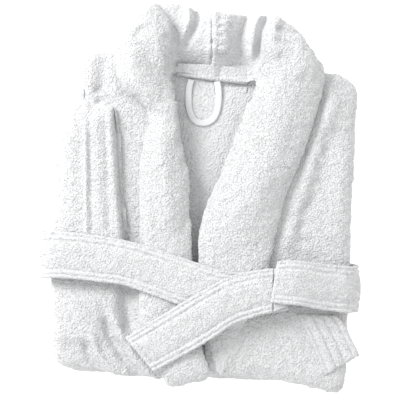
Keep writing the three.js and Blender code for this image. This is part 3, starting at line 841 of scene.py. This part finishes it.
left_run = belt_piece(
    "belt_left_run_band", "belt_left_run",
    [
        (LEFT_X, LEFT_Y, 12, 0, BELT),
        (LEFT_X, LEFT_Y, 38, 0, BELT),
        (LEFT_X + 1, LEFT_Y, 61, 0, BELT),
        (LEFT_X + 9.5, LEFT_Y, 73.5, -1, BELT),
        (LEFT_X + 27, LEFT_Y, 77, -2, BELT),
        (-116.2, -68.1, 77, -1, BELT),
        (-84.5, -73.1, 77, 3.4, 51),
        (-52.8, -83.1, 77, 11, 52),
        (-15.8, -96.1, 77, 12.8, BELT),
        (22, -107.1, 77, 8.9, 51.5),
        (60, -108.1, 77, 0, 49),
        (100, -103.6, 77, 0, 48),
    ],
    "folded_robe", 51)
right_run = belt_piece(
    "belt_right_run_band", "belt_right_run",
    [
        (83.6, -94.1, 87.6, 9.5, 47.5),
        (98, -94.3, 88.6, 6, 50),
        (113, -95.3, 87.8, 2.2, 51),
        (142.3, -100.6, 79, 0, BELT),
        (167.3, RIGHT_Y, 72, 0, BELT),
        (179.3, RIGHT_Y, 58, 0, BELT),
        (RIGHT_X, RIGHT_Y, 30, 0, BELT),
        (RIGHT_X, RIGHT_Y, 12, 0, BELT),
    ],
    "folded_robe", 52)
belt_piece(
    "belt_knot_turn_band", "belt_knot_turn",
    [
        (83.4, -104.1, 82.4, 1.6, 49.5),
        (90, -102.4, 82.4, 1.2, 48),
        (98.4, -99.6, 82.4, 1.2, 46),
    ],
    "folded_robe", 53)
tail_long = belt_piece(
    "belt_tail_long_band", "belt_tail_long",
    [
        (-69, -177.1, 78, -40, 50),
        (-36, -158.1, 79.5, -32.5, 52),
        (-6, -140.1, 82.2, -26, BELT),
        (32, -117.1, 82.2, -12.8, BELT),
        (56, -109.1, 82.2, -4.3, BELT),
        (75.2, -105.1, 82.4, 2.2, 51),
        (82.6, -104.2, 82.4, 1.8, 49.6),
    ],
    None, 54, profile=end_profile)
LONG_BEND = ("folded_robe", "long_tail", (0.0751, -0.1051, 0.0824), (0.0671, -0.1051, 0.0824))
tail_short = belt_piece(
    "belt_tail_short_band", "belt_tail_short",
    [
        (162.4, -191.1, 62.7, 59.5, 45.6),
        (154.4, -171.1, 62.7, 73.2, 45),
        (144.4, -150.1, 62.7, 83.7, 45.6),
        (134.9, -132.7, 63.7, 92.5, 46),
    ],
    None, 55, upwards=-1, profile=ribbed_profile)
SHORT_BEND = ("folded_robe", "short_tail", (0.1349, -0.1327, 0.0637), (0.1379, -0.1397, 0.0637))

# ---- Loops of the pile -------------------------------------------------------------------------
# Terry stands in loops a couple of millimetres high. They show as a fuzz of small tufts on the fronts,
# the left sleeve, the collar and the upper belt pieces, over each face that isn't pressed against
# another ply.

TUFT_SPACING = 2.1
TUFT_RADIUS = 0.95
TUFT_HEIGHT = 1.05
PRESSED_REACH = 0.025  # a face this close under another ply is pressed and shows no loops


def tuft_tree():
    """Scatters small tufts over a mesh where its "open" value is above a half."""
    tree = bpy.data.node_groups.new("terry_tufts", "GeometryNodeTree")
    face = tree.interface
    face.new_socket("Geometry", in_out="INPUT", socket_type="NodeSocketGeometry")
    for name, kind in (("Spacing", "Float"), ("Radius", "Float"), ("Height", "Float"),
                       ("Seed", "Int"), ("Cloth", "Material")):
        face.new_socket(name, in_out="INPUT", socket_type=f"NodeSocket{kind}")
    face.new_socket("Geometry", in_out="OUTPUT", socket_type="NodeSocketGeometry")
    nodes, links = tree.nodes, tree.links
    given, out = nodes.new("NodeGroupInput"), nodes.new("NodeGroupOutput")
    scatter = nodes.new("GeometryNodeDistributePointsOnFaces")
    scatter.distribute_method = "POISSON"
    scatter.inputs["Density Max"].default_value = 400000
    opened = nodes.new("GeometryNodeInputNamedAttribute")
    opened.data_type = "FLOAT"
    opened.inputs["Name"].default_value = "open"
    tuft = nodes.new("GeometryNodeMeshUVSphere")
    tuft.inputs["Segments"].default_value = 4
    tuft.inputs["Rings"].default_value = 2
    tuft.inputs["Radius"].default_value = 1
    size = nodes.new("ShaderNodeCombineXYZ")
    uneven = nodes.new("FunctionNodeRandomValue")
    uneven.data_type = "FLOAT"
    uneven.inputs[2].default_value = 0.7
    uneven.inputs[3].default_value = 1.25
    grow = nodes.new("ShaderNodeVectorMath")
    grow.operation = "SCALE"
    twist = nodes.new("FunctionNodeRandomValue")
    twist.data_type = "FLOAT_VECTOR"
    twist.inputs[0].default_value = (-0.5, -0.5, -3.1)
    twist.inputs[1].default_value = (0.5, 0.5, 3.1)
    turned = nodes.new("FunctionNodeRotateRotation")
    turned.rotation_space = "LOCAL"
    place = nodes.new("GeometryNodeInstanceOnPoints")
    realize = nodes.new("GeometryNodeRealizeInstances")
    smooth = nodes.new("GeometryNodeSetShadeSmooth")
    dress = nodes.new("GeometryNodeSetMaterial")
    links.new(given.outputs["Geometry"], scatter.inputs["Mesh"])
    links.new(given.outputs["Spacing"], scatter.inputs["Distance Min"])
    links.new(given.outputs["Seed"], scatter.inputs["Seed"])
    links.new(given.outputs["Seed"], uneven.inputs["Seed"])
    links.new(given.outputs["Seed"], twist.inputs["Seed"])
    links.new(opened.outputs["Attribute"], scatter.inputs["Density Factor"])
    links.new(given.outputs["Radius"], size.inputs["X"])
    links.new(given.outputs["Radius"], size.inputs["Y"])
    links.new(given.outputs["Height"], size.inputs["Z"])
    links.new(size.outputs["Vector"], grow.inputs[0])
    links.new(uneven.outputs[1], grow.inputs["Scale"])
    links.new(scatter.outputs["Points"], place.inputs["Points"])
    links.new(tuft.outputs["Mesh"], place.inputs["Instance"])
    links.new(scatter.outputs["Rotation"], turned.inputs["Rotation"])
    links.new(twist.outputs[0], turned.inputs["Rotate By"])
    links.new(turned.outputs[0], place.inputs["Rotation"])
    links.new(grow.outputs["Vector"], place.inputs["Scale"])
    links.new(place.outputs["Instances"], realize.inputs["Geometry"])
    links.new(realize.outputs["Geometry"], smooth.inputs["Geometry"])
    links.new(smooth.outputs["Geometry"], dress.inputs["Geometry"])
    links.new(given.outputs["Cloth"], dress.inputs["Material"])
    links.new(dress.outputs["Geometry"], out.inputs["Geometry"])
    return tree


tufts = tuft_tree()


def covers_tree():
    """Every CAD ply as one search tree, to find what presses on a face."""
    from mathutils.bvhtree import BVHTree
    verts, faces = [], []
    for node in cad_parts.values():
        first = len(verts)
        verts += [vertex.co.copy() for vertex in node.data.vertices]
        faces += [[first + index for index in face.vertices] for face in node.data.polygons]
    return BVHTree.FromPolygons(verts, faces)


covers = covers_tree()


def mark_open(thing, start=0.003):
    """Stores 1 on points whose outward way is free, and 0 on points pressed against a ply."""
    open_values = np.zeros(len(thing.data.vertices))
    for index, vertex in enumerate(thing.data.vertices):
        if vertex.normal.z > -0.35:
            hit = covers.ray_cast(vertex.co + vertex.normal * start, vertex.normal, PRESSED_REACH)
            open_values[index] = hit[0] is None
    if "nap" in thing.data.attributes:
        nap = np.empty(len(open_values))
        thing.data.attributes["nap"].data.foreach_get("value", nap)
        open_values *= nap
    attribute = thing.data.attributes.new("open", "FLOAT", "POINT")
    attribute.data.foreach_set("value", open_values)


def loops_on(thing, seed, cloth, body):
    """A separate piece of loops standing on a finished piece of cloth."""
    mark_open(thing)
    loops = new_object(f"{thing.name}_loops", thing.data.copy())
    modifier = loops.modifiers.new("tufts", "NODES")
    modifier.node_group = tufts
    sockets = {item.name: item.identifier for item in tufts.interface.items_tree
               if item.in_out == "INPUT"}
    modifier[sockets["Spacing"]] = TUFT_SPACING * MM
    modifier[sockets["Radius"]] = TUFT_RADIUS * MM
    modifier[sockets["Height"]] = TUFT_HEIGHT * MM
    modifier[sockets["Seed"]] = seed
    modifier[sockets["Cloth"]] = cloth
    loops.update_tag()
    flattened(loops)
    if body:
        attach(loops, body)
    return loops


for number, (thing, cloth, slot) in enumerate((
        (left_front, body_terry, "robe_terry"), (right_front, body_terry, "robe_terry"),
        (left_sleeve, body_terry, "robe_terry"), (collar_left, body_terry, "collar_terry"),
        (collar_right, body_terry, "collar_terry"), (left_run, belt_terry, "belt_terry"),
        (right_run, belt_terry, "belt_terry"))):
    loops_on(thing, 70 + number, cloth, "folded_robe")
for thing, bend, seed in ((tail_long, LONG_BEND, 81), (tail_short, SHORT_BEND, 82)):
    loops = loops_on(thing, seed, belt_terry, None)
    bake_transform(loops)
    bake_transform(thing)
